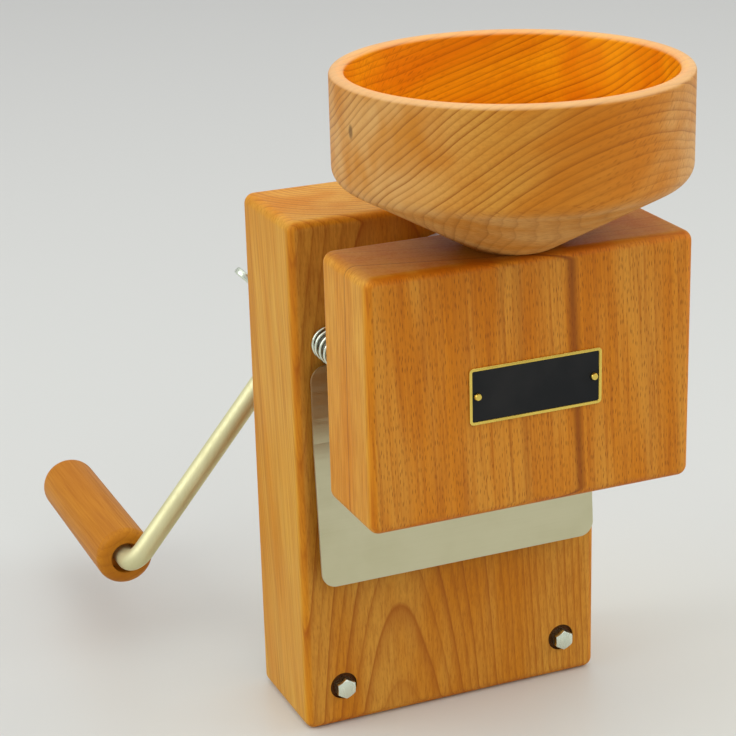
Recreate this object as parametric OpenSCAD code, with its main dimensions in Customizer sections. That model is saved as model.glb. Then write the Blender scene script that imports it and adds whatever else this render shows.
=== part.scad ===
// Hand grain mill: two beech blocks, a turned hopper, a pair of millstones and a bent crank.
// The origin is the centre of the back block's base. +Z is up and the front faces -Y.
// Turning the wing nuts lets the springs push the front block, with the fixed stone, away from
// the runner stone. Threads that are engaged are drawn at their pitch diameter.

/* [Blocks] */
// Width of both wooden blocks
block_w = 142; // [138:1:170]
// Depth of the back block
back_d = 56; // [52:1:70]
// Height of the back block
back_h = 232; // [222:1:260]
// Depth of the front block
front_d = 46; // [44:1:58]
// Height of the front block
front_h = 105; // [100:1:114]
// Open distance between the two blocks at the finest setting
block_gap = 34; // [33:0.5:44]
// Height of the back block's top over the front block's
front_drop = 1.5; // [0:0.5:4]
// Radius of the rounded block edges
edge_r = 4.5; // [2:0.5:7]

/* [Hopper] */
// Outer diameter of the hopper
hopper_d = 140; // [120:1:160]
// Height of the hopper above the front block
hopper_h = 70.5; // [62:0.5:90]
// Wall thickness of the straight hopper wall
hopper_wall = 6; // [4:0.5:8]
// Height at which the cone would meet the straight wall
cone_h = 29.5; // [26:0.5:38]
// Thickness of the hopper's cone, square to its surface
cone_wall = 7; // [5:0.5:8]
// Rounding between the cone and the straight wall
cone_fillet = 7; // [4:1:14]
// Diameter of the hopper's foot on the front block
foot_d = 36; // [34:1:40]
// Diameter of the spigot that plugs into the front block
spigot_d = 28; // [27:1:32]
// Length of the spigot
spigot_len = 12; // [8:1:14]
// Bore of the hopper's throat and of the grain channel under it
throat_d = 22; // [16:1:24]
// Rounding of the hopper's rim
rim_r = 2; // [1:0.5:2.5]
// Distance from the front block's middle forward to the hopper's axis
hopper_shift = 3; // [0:0.5:4]

/* [Millstones] */
// Diameter of both millstones
stone_d = 85; // [76:1:90]
// Thickness of the runner stone
runner_t = 12; // [10:0.5:13]
// Eye of both stones, and bore of the feed chamber
eye_d = 28; // [26:1:30]
// Depth of the fixed stone's seat in the front block
stone_seat = 5; // [3:0.5:8]
// Running gap between the stones at the finest setting
grind_gap = 0.5; // [0.3:0.1:1]
// Furrows cut in each stone's face
furrow_n = 10; // [6:1:14]
// Width of a furrow
furrow_w = 4; // [2:0.5:5]
// Depth of a furrow
furrow_deep = 1.5; // [0.5:0.25:2]
// Outer diameter of the tapered mouth round each eye
mouth_d = 46; // [36:1:52]
// Depth of the tapered mouth
mouth_deep = 3; // [1:0.5:4]
// Thickness of the disc that carries the runner stone
carrier_t = 4; // [3:0.5:5]
// Diameter of the carrier's hub
hub_d = 22; // [20:0.5:23]
// Length of the carrier's hub
hub_len = 14; // [13:0.5:15]
// Diameter of the pin that drives the carrier
pin_d = 4; // [3:0.5:5]

/* [Feed screw] */
// Outer diameter of the feed screw
flight_d = 24; // [20:0.5:25]
// Pitch of the feed screw
flight_pitch = 14; // [10:1:18]
// Thickness of its flight
flight_t = 3; // [2:0.5:4]
// Diameter of its sleeve
sleeve_d = 14; // [13:0.5:16]
// Wood left in front of the feed chamber
chamber_wall = 8; // [6:0.5:12]

/* [Crank] */
// Diameter of the bent crank rod
rod_d = 10; // [9:0.5:12]
// Distance from the back block's rear face to the crank arm
arm_offset = 54; // [48:1:70]
// Length of the crank arm between its two corners
arm_len = 178; // [140:1:200]
// Turn of the crank from straight down
crank_turn = 40; // [0:0.5:90]
// Bend radius between shaft and arm
shaft_bend_r = 20; // [14:1:26]
// Bend radius between arm and grip
grip_bend_r = 9.5; // [8:0.5:16]
// Length of the wooden grip
grip_len = 105; // [80:1:130]
// Diameter of the grip at the arm
grip_d = 27.5; // [24:0.5:32]
// Diameter of the grip at its far end
grip_tip_d = 27; // [23:0.5:30]
// Distance from the arm's centre line to the grip
grip_start = 10; // [10:0.5:14]
// Diameter of the recess in each end of the grip
grip_recess_d = 15; // [14:0.5:17]
// Depth of the recess round the rod
grip_recess = 6; // [5:0.5:8]
// Depth of the recess round the grip's screw
grip_screw_recess = 9; // [8:0.5:12]

/* [Bearings] */
// Outer diameter of the shaft bushes
bush_d = 14; // [13:0.5:17]
// Length of each bush in the block
bush_len = 20; // [12:1:24]
// Diameter of the bush flanges and of the thrust washer
flange_d = 20; // [18:0.5:22]
// Thickness of the bush flange
flange_t = 3; // [2:0.5:3.5]
// Thickness of the thrust washer
thrust_t = 1.5; // [1:0.25:2]
// Diameter of the set collar behind the block
collar_d = 22; // [20:1:26]
// Width of the set collar
collar_w = 10; // [8:0.5:12]
// Diameter of the collar's set screw
collar_screw_d = 5; // [4:0.5:6]

/* [Guides and springs] */
// Distance between the two guide studs
guide_spacing = 112; // [106:1:116]
// Diameter of a guide stud
stud_d = 8; // [6:0.5:9]
// Depth of a guide stud in the front block
stud_seat = 26; // [18:1:30]
// Outer diameter of a spring
spring_d = 15; // [13:0.5:17]
// Wire of a spring
wire_d = 1.6; // [1:0.1:2]
// Turns of a spring
spring_turns = 6.25; // [4:0.25:8]
// Way the front block can move out from its finest setting
fine_travel = 6; // [3:0.5:8]
// Span of a wing nut
wing_span = 39; // [32:1:44]
// Height of a wing nut
wing_h = 18; // [16:0.5:22]
// Thickness of a wing
wing_t = 3.2; // [2.5:0.1:4]
// Radius of a wing's rounded end
wing_r = 6; // [5:0.5:7]
// Base diameter of a wing nut
wing_hub_d = 16; // [14:0.5:18]
// Height of a wing nut's hub
wing_hub_h = 10; // [8:0.5:12]
// Turn of the left wing nut's wings at rest
wing_turn = 135; // [0:1:180]

/* [Chute plate] */
// Width of the chute plate
plate_w = 130; // [120:1:134]
// Height of the chute plate
plate_h = 98.5; // [80:0.5:110]
// Thickness of the chute plate
plate_t = 1; // [0.8:0.1:1.5]
// Corner radius of the chute plate
plate_r = 6.5; // [3:0.5:10]
// Distance of the plate's flat top part from the back block
plate_gap = 3; // [2.5:0.25:3.25]
// Distance of the plate's lower lip from the back block
plate_lip = 8; // [6:0.5:14]
// Height of the plate's flat top part
plate_flat = 34; // [28:1:40]
// Distance between the plate's screws
plate_screw_spacing = 100; // [98:1:108]
// Distance of the plate's screws from its top edge
plate_screw_drop = 17; // [12:1:20]

/* [Fasteners] */
// Distance between the two fixing bolts
fixing_spacing = 107; // [80:1:116]
// Height of the fixing bolts above the base
fixing_z = 19; // [14:1:30]
// Thread diameter of a fixing bolt
fixing_d = 5; // [4:0.5:8]
// Free end of a fixing bolt behind its nut
fixing_free = 14; // [10:1:20]
// Depth of the recess round a fixing bolt's head
fixing_recess = 1.5; // [0.5:0.5:4]
// Wrench size of a fixing bolt
fixing_af = 8; // [7:0.5:13]
// Height of a fixing bolt's head
fixing_head = 5.5; // [3:0.5:6]

/* [Name plate] */
// Width of the bare name plate
tag_w = 58; // [40:1:80]
// Height of the name plate
tag_h = 23.5; // [18:0.5:30]
// Thickness of the name plate
tag_t = 0.8; // [0.5:0.1:1.5]
// Distance between the name plate's pins
tag_pin_spacing = 51; // [32:1:54]

/* [Hidden] */
$fn = 72;

// Overrun of a cutting tool, and clearances
cut = 1;
seat_clear = 0.05;
run_clear = 0.08;
slide_clear = 0.2;
end_play = 0.1;
// Pitch diameter of a thread, and face of a turned hexagon, as parts of their full size
pitch_ratio = 0.9;
hex_face = 0.95;

// Colours
beech = "#c4843a";
beech_light = "#d9a865";
steel = "#b9bcb8";
zinc = "#c6c4ae";
bronze = "#a87f45";
grit = "#cfc8ba";
brass = "#c9a63c";
black = "#1c1b18";

// Main planes, seen from the side
back_face = -back_d / 2;
rear_face = back_d / 2;
inner_face = back_face - block_gap;
front_face = inner_face - front_d;
front_y = inner_face - front_d / 2;
front_top = back_h - front_drop;
front_z = front_top - front_h;
axis_z = back_h - front_h / 2;
hopper_y = front_y - hopper_shift;

// Stack on the shaft, from the back block's face towards the front
hub_y = back_face - flange_t - end_play - thrust_t;
disc_step = 1.5;
disc_y = hub_y - disc_step;
runner_y = disc_y - carrier_t;
runner_face = runner_y - runner_t;
fixed_face = runner_face - grind_gap;
fixed_back = inner_face - stone_seat;
hub_front = hub_y - hub_len;
pin_y = (runner_y + hub_front) / 2;
chamber_end = front_face + chamber_wall;
tip_clear = 3;
tip_y = chamber_end + tip_clear;
thread_out = 1.5;
nut_h = 6.5;
nut_af = 13;
shaft_thread = 0.72 * rod_d;
nut_front = tip_y + thread_out;
sleeve_end = nut_front + nut_h;
sleeve_lap = 1;
flight_end_gap = 2;
flight_root = 0.9 * sleeve_d / 2;

// Crank path, measured along the rod's centre line
arm_y = rear_face + arm_offset;
grip_end = grip_start + grip_len;
spindle_end = grip_end - grip_screw_recess;
washer_t = 1.2;
grip_edge_r = 4.5;
grip_tip_r = 7;
grip_screw_d = 5;
grip_screw_len = 12;
grip_head_d = 9.5;
grip_head_h = 3.5;
grip_head_top = 7.5;
grip_washer_d = grip_recess_d - 1;
grip_hole_spare = 1;
collar_screw_sink = 0.5;
collar_screw_len = collar_d / 2 - rod_d / 2 - collar_screw_sink;

// Guides, springs and wing nuts
wing_washer_d = 16;
wing_washer_t = 1.6;
wing_hub_taper = 3;
wing_foot = 1;
stud_chamfer = 1;
stud_spare = 3.4;
stud_out = wing_washer_t + wing_hub_h + fine_travel + stud_spare;
thread_run = 0.05;
spring_r = (spring_d - wire_d) / 2;
spring_sides = 6;
spring_rings = 8;
spring_bend = 1.5 * wire_d;

// Chute plate
plate_clear = 1.5;
plate_top = axis_z - spring_d / 2 - plate_clear;
plate_bottom = plate_top - plate_h;
plate_bend = plate_top - plate_flat;
notch_clear = 4;
plate_notch = flange_d / 2 + notch_clear;
plate_screw_z = plate_top - plate_screw_drop;
plate_screw_d = 3.5;
plate_screw_len = 22;
plate_screw_depth = plate_screw_len - plate_gap - plate_t;
plate_screw_tip = 1.2;
plate_head_d = 7;
plate_head_top = 5;
plate_head_h = 2.4;
spacer_d = 8;

// Fixing bolts
fixing_shank = pitch_ratio * fixing_d;
fixing_hole = fixing_d + 2 * slide_clear;
head_room = 3.2;
fixing_recess_d = fixing_af / cos(30) + head_room;
fixing_washer_d = 2 * fixing_d;
fixing_washer_t = 1;
fixing_nut_h = 4;
fixing_chamfer = 1;

// Name plate
tag_drop = 2.5;
tag_z = axis_z - tag_drop;
tag_r = 1.5;
tag_pin_d = 1.8;
tag_pin_len = 6;
tag_head_d = 3.2;
tag_head_h = 1;

// Draws its children along +Y, starting at y on the line x = 0
module to_rear(y, z) {
    translate([0, y, z]) rotate([-90, 0, 0]) children();
}

// Draws its children along -Y, starting at y on the line x = 0
module to_front(y, z) {
    translate([0, y, z]) rotate([90, 0, 0]) children();
}

// Repeats its children to the left and the right of the middle
module pair(spacing) {
    for (side = [-1, 1]) translate([side * spacing / 2, 0, 0]) children();
}

module drill(d, h) {
    translate([0, 0, -cut]) cylinder(d = d, h = h + 2 * cut);
}

module ring(outer, inner, h) {
    difference() {
        cylinder(d = outer, h = h);
        drill(inner, h);
    }
}

module hexagon(af, h) {
    cylinder(d = af / cos(30), h = h, $fn = 6);
}

// Hexagon with its corners turned off at 30 degrees on the far end
module turned_hexagon(af, h) {
    face_d = hex_face * af;
    intersection() {
        hexagon(af, h);
        cylinder(d1 = face_d + 2 * h / tan(30), d2 = face_d, h = h);
    }
}

// Round bar with a chamfer at its far end
module chamfered_bar(d, h, c) {
    cylinder(d = d, h = h - c);
    translate([0, 0, h - c]) cylinder(d1 = d, d2 = d - 2 * c, h = c);
}

module rounded_rect(w, h, r) {
    square([w - 2 * r, h], center = true);
    square([w, h - 2 * r], center = true);
    for (sx = [-1, 1], sy = [-1, 1]) {
        translate([sx * (w / 2 - r), sy * (h / 2 - r)]) circle(r);
    }
}

// Half of a strip 2r wide with round corners, to the right of its middle line
module rounded_strip(h, r) {
    intersection() {
        union() {
            square([2 * r, h - 2 * r], center = true);
            for (end = [-1, 1]) translate([0, end * (h / 2 - r)]) circle(r);
        }
        translate([0, -h / 2]) square([r, h]);
    }
}

// Block with every edge and corner rounded, its base centred on the origin
module rounded_block(w, d, h, r) {
    translate([0, 0, h / 2]) {
        rotate([90, 0, 90]) linear_extrude(w - 2 * r, center = true) rounded_rect(d, h, r);
        for (side = [0, 180]) rotate(side) translate([w / 2 - r, 0, 0]) {
            rotate([90, 0, 0]) linear_extrude(d - 2 * r, center = true) rounded_strip(h, r);
            translate([0, d / 2 - r, 0]) rotate_extrude(angle = 90) rounded_strip(h, r);
            translate([0, r - d / 2, 0]) rotate(-90) rotate_extrude(angle = 90) rounded_strip(h, r);
        }
    }
}

module back_block() {
    color(beech) difference() {
        rounded_block(block_w, back_d, back_h, edge_r);
        to_rear(back_face, axis_z) drill(bush_d + 2 * seat_clear, back_d);
        pair(guide_spacing) to_rear(back_face, axis_z) drill(stud_d + 2 * run_clear, back_d);
        pair(fixing_spacing) to_rear(back_face, fixing_z) drill(fixing_hole, back_d);
        pair(fixing_spacing) to_front(back_face + fixing_recess, fixing_z)
            cylinder(d = fixing_recess_d, h = fixing_recess + cut);
        pair(plate_screw_spacing) to_rear(back_face - cut, plate_screw_z)
            cylinder(d = plate_screw_d + 2 * seat_clear, h = plate_screw_depth + 2 * cut);
    }
}

module front_block() {
    color(beech) difference() {
        translate([0, front_y, front_z]) rounded_block(block_w, front_d, front_h, edge_r);
        to_rear(fixed_back, axis_z) cylinder(d = stone_d + 2 * seat_clear, h = stone_seat + cut);
        to_rear(chamber_end, axis_z) cylinder(d = eye_d, h = fixed_back - chamber_end + cut);
        translate([0, hopper_y, axis_z]) cylinder(d = throat_d, h = front_top - axis_z + cut);
        translate([0, hopper_y, front_top - spigot_len - cut])
            cylinder(d = spigot_d + 2 * slide_clear, h = spigot_len + 2 * cut);
        pair(guide_spacing) to_rear(inner_face - stud_seat, axis_z)
            cylinder(d = stud_d + 2 * seat_clear, h = stud_seat + cut);
        pair(tag_pin_spacing) to_rear(front_face - cut, tag_z)
            cylinder(d = tag_pin_d + 2 * seat_clear, h = tag_pin_len + cut);
    }
}

// Outer half-section of the hopper, filled to its axis; the cone is rounded into the wall
module hopper_outside() {
    r = hopper_d / 2;
    foot = foot_d / 2;
    slant = atan2(cone_h, r - foot);
    centre_r = r - cone_fillet;
    centre_z = (centre_r - foot) * tan(slant) + cone_fillet / cos(slant);
    polygon([
        [0, -spigot_len], [spigot_d / 2, -spigot_len], [spigot_d / 2, 0], [foot, 0],
        [centre_r + cone_fillet * sin(slant), centre_z - cone_fillet * cos(slant)],
        [r, centre_z], [r, hopper_h - rim_r], [r - rim_r, hopper_h], [0, hopper_h]
    ]);
    translate([centre_r, centre_z]) circle(cone_fillet);
    translate([r - rim_r, hopper_h - rim_r]) circle(rim_r);
}

// Half-section of the hopper's bowl and throat, with the rim's inner edge rounded
module hopper_inside() {
    r = hopper_d / 2 - hopper_wall;
    throat = throat_d / 2;
    slope = cone_h / (hopper_d / 2 - foot_d / 2);
    rise = cone_wall * sqrt(1 + slope * slope);
    polygon([
        [0, -spigot_len - cut], [throat, -spigot_len - cut],
        [throat, (throat - foot_d / 2) * slope + rise],
        [r, (r - foot_d / 2) * slope + rise],
        [r, hopper_h + cut], [0, hopper_h + cut]
    ]);
    translate([r, hopper_h - rim_r]) difference() {
        translate([-rim_r / 2, 0]) square([1.5 * rim_r, rim_r + cut]);
        translate([rim_r, 0]) circle(rim_r);
    }
}

module hopper() {
    color(beech_light) translate([0, hopper_y, front_top]) rotate_extrude() difference() {
        hopper_outside();
        hopper_inside();
    }
}

// Bent sheet: a flat part that is screwed on, and a lower part that leans forward as a lip
module chute_plate() {
    back = back_face - plate_gap;
    lip = back_face - plate_lip;
    color(steel) difference() {
        intersection() {
            rotate([90, 0, 90]) linear_extrude(plate_w, center = true) polygon([
                [back, plate_top], [back - plate_t, plate_top], [back - plate_t, plate_bend],
                [lip - plate_t, plate_bottom], [lip, plate_bottom], [back, plate_bend]
            ]);
            to_front(0, (plate_top + plate_bottom) / 2) linear_extrude(back_d + block_gap)
                rounded_rect(plate_w, plate_h, plate_r);
        }
        to_front(back_face, axis_z) cylinder(r = plate_notch, h = block_gap);
        pair(plate_screw_spacing) to_front(back, plate_screw_z)
            drill(plate_screw_d + 2 * seat_clear, plate_t);
    }
}

module chute_spacers() {
    color(steel) pair(plate_screw_spacing) to_front(back_face, plate_screw_z)
        ring(spacer_d, plate_screw_d + 2 * seat_clear, plate_gap);
}

module chute_screws() {
    color(steel) pair(plate_screw_spacing) to_rear(back_face - plate_gap - plate_t, plate_screw_z) {
        chamfered_bar(plate_screw_d, plate_screw_len, plate_screw_tip);
        translate([0, 0, -plate_head_h])
            cylinder(d1 = plate_head_top, d2 = plate_head_d, h = plate_head_h);
    }
}

module bush() {
    ring(flange_d, rod_d + 2 * run_clear, flange_t);
    translate([0, 0, flange_t]) ring(bush_d, rod_d + 2 * run_clear, bush_len);
}

module front_bush() {
    color(bronze) to_rear(back_face - flange_t, axis_z) bush();
}

module rear_bush() {
    color(bronze) to_front(rear_face + flange_t, axis_z) bush();
}

module thrust_washer() {
    color(steel) to_front(back_face - flange_t - end_play, axis_z)
        ring(flange_d, rod_d + 2 * seat_clear, thrust_t);
}

// Disc and hub that carry the runner stone, cross-drilled for the drive pin
module stone_carrier() {
    color(steel) difference() {
        union() {
            to_front(hub_y, axis_z) cylinder(d = hub_d, h = hub_len);
            to_front(disc_y, axis_z) cylinder(d = stone_d, h = carrier_t);
        }
        to_front(hub_y, axis_z) drill(rod_d + 2 * seat_clear, hub_len);
        in_crank() translate([0, 0, pin_y]) rotate([90, 0, 0])
            cylinder(d = pin_d + 2 * seat_clear, h = 2 * hub_d, center = true);
    }
}

// Dressed millstone with its grinding face up at z = 0
module millstone(t) {
    widen = (mouth_d - eye_d) / mouth_deep;
    difference() {
        translate([0, 0, -t]) cylinder(d = stone_d, h = t);
        translate([0, 0, -t]) drill(eye_d, t);
        translate([0, 0, -mouth_deep])
            cylinder(d1 = eye_d, d2 = mouth_d + widen * cut, h = mouth_deep + cut);
        for (i = [0 : furrow_n - 1]) {
            rotate(i * 360 / furrow_n) translate([eye_d / 4, 0, -furrow_deep])
                cube([furrow_w, stone_d, furrow_deep + cut]);
        }
    }
}

module runner_stone() {
    color(grit) to_front(runner_face, axis_z) millstone(runner_t);
}

module fixed_stone() {
    color(grit) to_rear(fixed_face, axis_z) millstone(fixed_face - fixed_back);
}

module drive_pin() {
    color(steel) in_crank() translate([0, 0, pin_y]) rotate([90, 0, 0])
        cylinder(d = pin_d, h = hub_d, center = true);
}

// Sleeve with a helical flight; a flight's flat section is a sector of the pitch
module feed_screw() {
    flight_len = fixed_face - sleeve_end - 2 * flight_end_gap;
    turns = flight_len / flight_pitch;
    sector = 360 * flight_t / flight_pitch;
    color(steel) difference() {
        union() {
            to_front(hub_front, axis_z) cylinder(d = sleeve_d, h = hub_front - sleeve_end);
            to_front(fixed_face - flight_end_gap, axis_z)
                linear_extrude(flight_len, twist = -360 * turns, slices = round(16 * turns), $fn = 4)
                polygon(concat(
                    [for (i = [0 : 2]) flight_root * [cos(sector * i / 2), sin(sector * i / 2)]],
                    [for (i = [4 : -1 : 0]) flight_d / 2 * [cos(sector * i / 4), sin(sector * i / 4)]]
                ));
        }
        to_front(hub_front, axis_z) drill(rod_d + 2 * seat_clear, hub_front - sleeve_end);
    }
}

module shaft_nut() {
    color(zinc) to_front(sleeve_end, axis_z) difference() {
        turned_hexagon(nut_af, nut_h);
        drill(shaft_thread + 2 * seat_clear, nut_h);
    }
}

// Frame of the crank: +Z along the shaft to the rear, +X along the arm
module in_crank() {
    translate([0, 0, axis_z]) rotate([0, 90 + crank_turn, 0]) rotate([-90, 0, 0]) children();
}

// Frame of the grip: +Z along its axis, starting on the arm's centre line
module in_grip() {
    in_crank() translate([0, 0, arm_y]) translate([arm_len, 0, 0]) children();
}

// Straight piece of rod, with what follows at its end
module run(len) {
    cylinder(d = rod_d, h = len);
    translate([0, 0, len]) children();
}

// Piece of rod that bends square from +Z to +X, with what follows at its end
module bend(r) {
    translate([r, 0, 0]) mirror([1, 0, 0]) rotate([90, 0, 0])
        rotate_extrude(angle = 90) translate([r, 0]) circle(d = rod_d);
    translate([r, 0, r]) rotate([0, 90, 0]) children();
}

// One bent bar: shaft, arm and spindle, with a thread in front and a tapped hole in the grip's end
module crank_rod() {
    shaft_start = sleeve_end + sleeve_lap;
    color(zinc) difference() {
        union() {
            in_crank() translate([0, 0, tip_y])
                cylinder(d = shaft_thread, h = shaft_start - tip_y);
            in_crank() translate([0, 0, shaft_start]) run(arm_y - shaft_bend_r - shaft_start)
                bend(shaft_bend_r) run(arm_len - shaft_bend_r - grip_bend_r)
                rotate(180) bend(grip_bend_r) run(spindle_end - grip_bend_r);
        }
        in_crank() translate([0, 0, pin_y]) rotate([90, 0, 0])
            cylinder(d = pin_d + 2 * seat_clear, h = 2 * rod_d, center = true);
        in_grip() translate([0, 0, spindle_end - grip_screw_len])
            cylinder(d = grip_screw_d + 2 * seat_clear, h = grip_screw_len + cut);
    }
}

module set_collar() {
    color(steel) difference() {
        to_rear(rear_face + flange_t + end_play, axis_z)
            ring(collar_d, rod_d + 2 * seat_clear, collar_w);
        in_collar() cylinder(d = collar_screw_d + 2 * seat_clear, h = collar_d);
    }
}

// Frame of the collar's screw: +Z outwards from the shaft's surface
module in_collar() {
    translate([0, rear_face + flange_t + end_play + collar_w / 2, axis_z])
        rotate([0, crank_turn, 0]) translate([0, 0, rod_d / 2]) children();
}

module collar_screw() {
    socket_af = collar_screw_d / 2;
    color(black) in_collar() difference() {
        cylinder(d = collar_screw_d, h = collar_screw_len);
        translate([0, 0, collar_screw_len / 2]) hexagon(socket_af, collar_screw_len);
    }
}

// Turned grip: a slightly tapered bar with rounded ends
module grip() {
    color(beech) in_grip() translate([0, 0, grip_start]) difference() {
        rotate_extrude() {
            polygon([
                [0, 0], [grip_d / 2 - grip_edge_r, 0], [grip_d / 2, grip_edge_r],
                [grip_tip_d / 2, grip_len - grip_tip_r],
                [grip_tip_d / 2 - grip_tip_r, grip_len], [0, grip_len]
            ]);
            translate([grip_d / 2 - grip_edge_r, grip_edge_r]) circle(grip_edge_r);
            translate([grip_tip_d / 2 - grip_tip_r, grip_len - grip_tip_r]) intersection() {
                circle(grip_tip_r);
                square(grip_tip_r);
            }
        }
        drill(rod_d + 2 * run_clear, grip_len);
        translate([0, 0, -cut]) cylinder(d = grip_recess_d, h = grip_recess + cut);
        translate([0, 0, grip_len - grip_screw_recess])
            cylinder(d = grip_recess_d, h = grip_screw_recess + cut);
    }
}

module grip_washer() {
    color(steel) in_grip() translate([0, 0, spindle_end + end_play])
        ring(grip_washer_d, grip_screw_d + 2 * seat_clear, washer_t);
}

module grip_screw() {
    socket_af = 0.6 * grip_screw_d;
    shank = grip_screw_len - grip_hole_spare + end_play + washer_t;
    color(steel) in_grip() translate([0, 0, spindle_end - grip_screw_len + grip_hole_spare]) difference() {
        union() {
            cylinder(d = grip_screw_d, h = shank);
            translate([0, 0, shank]) cylinder(d1 = grip_head_d, d2 = grip_head_top, h = grip_head_h);
        }
        translate([0, 0, shank + grip_head_h / 2]) hexagon(socket_af, grip_head_h);
    }
}

module guide_studs() {
    color(zinc) pair(guide_spacing) to_rear(inner_face - stud_seat, axis_z)
        chamfered_bar(stud_d, stud_seat + block_gap + back_d + stud_out, stud_chamfer);
}

// Point of the wound wire: s along the coil's circumference, y along the coil's axis
function on_coil(s, y) = let (a = s / spring_r * 180 / PI) [spring_r * cos(a), spring_r * sin(a), y];

// Unrolled way of a spring's wire: straight end, bend, coil, bend, straight end
function spring_way(length, lead) =
    let (
        turn = 90 - lead,
        bend_s = spring_bend * (1 - cos(turn)),
        bend_y = spring_bend * sin(turn),
        rise = length - 2 * wire_d - 2 * bend_y,
        steps = round(spring_rings * spring_turns),
        run_s = 2 * PI * spring_r * spring_turns,
        first = [for (i = [0 : 3]) [
            spring_bend * (1 - cos(turn * i / 3)), wire_d + spring_bend * sin(turn * i / 3)
        ]],
        coil = [for (i = [1 : steps - 1]) [
            bend_s + run_s * i / steps, wire_d + bend_y + rise * i / steps
        ]],
        total_s = run_s + 2 * bend_s,
        last = [for (i = [3 : -1 : 0]) [total_s - first[i][0], length - first[i][1]]]
    )
    concat([[0, 0]], first, coil, last, [[total_s, length]]);

function spring_lead(length) =
    atan((length - 2 * wire_d - 2 * spring_bend) / (2 * PI * spring_r * spring_turns));

// Ring of points square to the wire; the coil's own radius is always square to it
function wire_ring(point, direction) =
    let (
        radial = [point[0], point[1], 0] / spring_r,
        side = cross(direction, radial)
    )
    [for (i = [0 : spring_sides - 1])
        let (a = 360 * i / spring_sides)
        point + wire_d / 2 * (cos(a) * radial + sin(a) * side)];

function spring_points(length) =
    [for (p = spring_way(length, spring_lead(length))) on_coil(p[0], p[1])];

// Direction of the wire at each point: straight at the ends, towards the neighbours between
function wire_direction(points, i) =
    let (
        n = len(points) - 1,
        d = i < 2 || i > n - 2 ? [0, 0, 1] : points[i + 1] - points[i - 1]
    )
    d / norm(d);

function wire_gap(points) =
    min([
        for (i = [0 : len(points) - 1], j = [0 : len(points) - 1])
            if (j - i > spring_rings / 2) norm(points[i] - points[j])
    ]) - wire_d;

// Compression spring wound from one unbroken wire, along +Z
module spring(length) {
    points = spring_points(length);
    n = len(points);
    m = spring_sides;
    rings = [for (i = [0 : n - 1]) each wire_ring(points[i], wire_direction(points, i))];
    sides = [
        for (i = [0 : n - 2], k = [0 : m - 1])
            let (a = i * m + k, b = i * m + (k + 1) % m)
            each [[a, b, b + m], [a, b + m, a + m]]
    ];
    start_cap = [for (k = [1 : m - 2]) [0, k + 1, k]];
    end_cap = [for (k = [1 : m - 2]) (n - 1) * m * [1, 1, 1] + [0, k, k + 1]];
    echo(str("least gap of the spring to itself: ", wire_gap(points), " mm"));
    polyhedron(rings, concat(sides, start_cap, end_cap));
}

module left_spring() {
    color(zinc) translate([-guide_spacing / 2, 0, 0]) to_front(back_face, axis_z)
        rotate(180) spring(block_gap);
}

module right_spring() {
    color(zinc) translate([guide_spacing / 2, 0, 0]) to_front(back_face, axis_z) spring(block_gap);
}

// Wing nut standing on z = 0, with its wings along X
module wing_nut() {
    lobe_x = wing_span / 2 - wing_r;
    lobe_z = wing_h - wing_r;
    difference() {
        union() {
            cylinder(d1 = wing_hub_d, d2 = wing_hub_d - wing_hub_taper, h = wing_hub_h);
            for (side = [0, 180]) rotate([90, 0, side]) linear_extrude(wing_t, center = true) {
                polygon([
                    [0, wing_foot], [wing_hub_d / 2 - wing_foot, wing_foot],
                    [lobe_x + wing_r * sin(60), lobe_z - wing_r * cos(60)],
                    [lobe_x - wing_r * sin(60), lobe_z + wing_r * cos(60)], [0, wing_hub_h - wing_foot]
                ]);
                translate([lobe_x, lobe_z]) circle(wing_r);
            }
        }
        drill(stud_d + 2 * thread_run, wing_h);
    }
}

module left_wing_nut() {
    color(zinc) translate([-guide_spacing / 2, 0, 0]) to_rear(rear_face + wing_washer_t, axis_z)
        rotate(-wing_turn) wing_nut();
}

module right_wing_nut() {
    color(zinc) translate([guide_spacing / 2, 0, 0]) to_rear(rear_face + wing_washer_t, axis_z)
        rotate(wing_turn) wing_nut();
}

module wing_washers() {
    color(zinc) pair(guide_spacing) to_rear(rear_face, axis_z)
        ring(wing_washer_d, stud_d + 2 * slide_clear, wing_washer_t);
}

module fixing_bolts() {
    grip_through = back_d - fixing_recess + fixing_washer_t + fixing_nut_h;
    color(zinc) pair(fixing_spacing) {
        to_front(back_face + fixing_recess, fixing_z) rotate(30) turned_hexagon(fixing_af, fixing_head);
        to_rear(back_face + fixing_recess, fixing_z) {
            cylinder(d = fixing_shank, h = grip_through);
            translate([0, 0, grip_through]) chamfered_bar(fixing_d, fixing_free, fixing_chamfer);
        }
    }
}

module fixing_washers() {
    color(zinc) pair(fixing_spacing) to_rear(rear_face, fixing_z)
        ring(fixing_washer_d, fixing_hole, fixing_washer_t);
}

module fixing_nuts() {
    color(zinc) pair(fixing_spacing) to_rear(rear_face + fixing_washer_t, fixing_z) difference() {
        turned_hexagon(fixing_af, fixing_nut_h);
        drill(fixing_shank + 2 * seat_clear, fixing_nut_h);
    }
}

module name_plate() {
    color(black) to_front(front_face, tag_z) difference() {
        linear_extrude(tag_t) rounded_rect(tag_w, tag_h, tag_r);
        pair(tag_pin_spacing) drill(tag_pin_d + 2 * seat_clear, tag_t);
    }
}

module name_plate_pins() {
    color(brass) pair(tag_pin_spacing) to_rear(front_face - tag_t, tag_z) {
        cylinder(d = tag_pin_d, h = tag_pin_len);
        rotate_extrude() intersection() {
            circle(d = tag_head_d);
            translate([0, -tag_head_h]) square([tag_head_d / 2, tag_head_h]);
        }
    }
}

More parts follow.
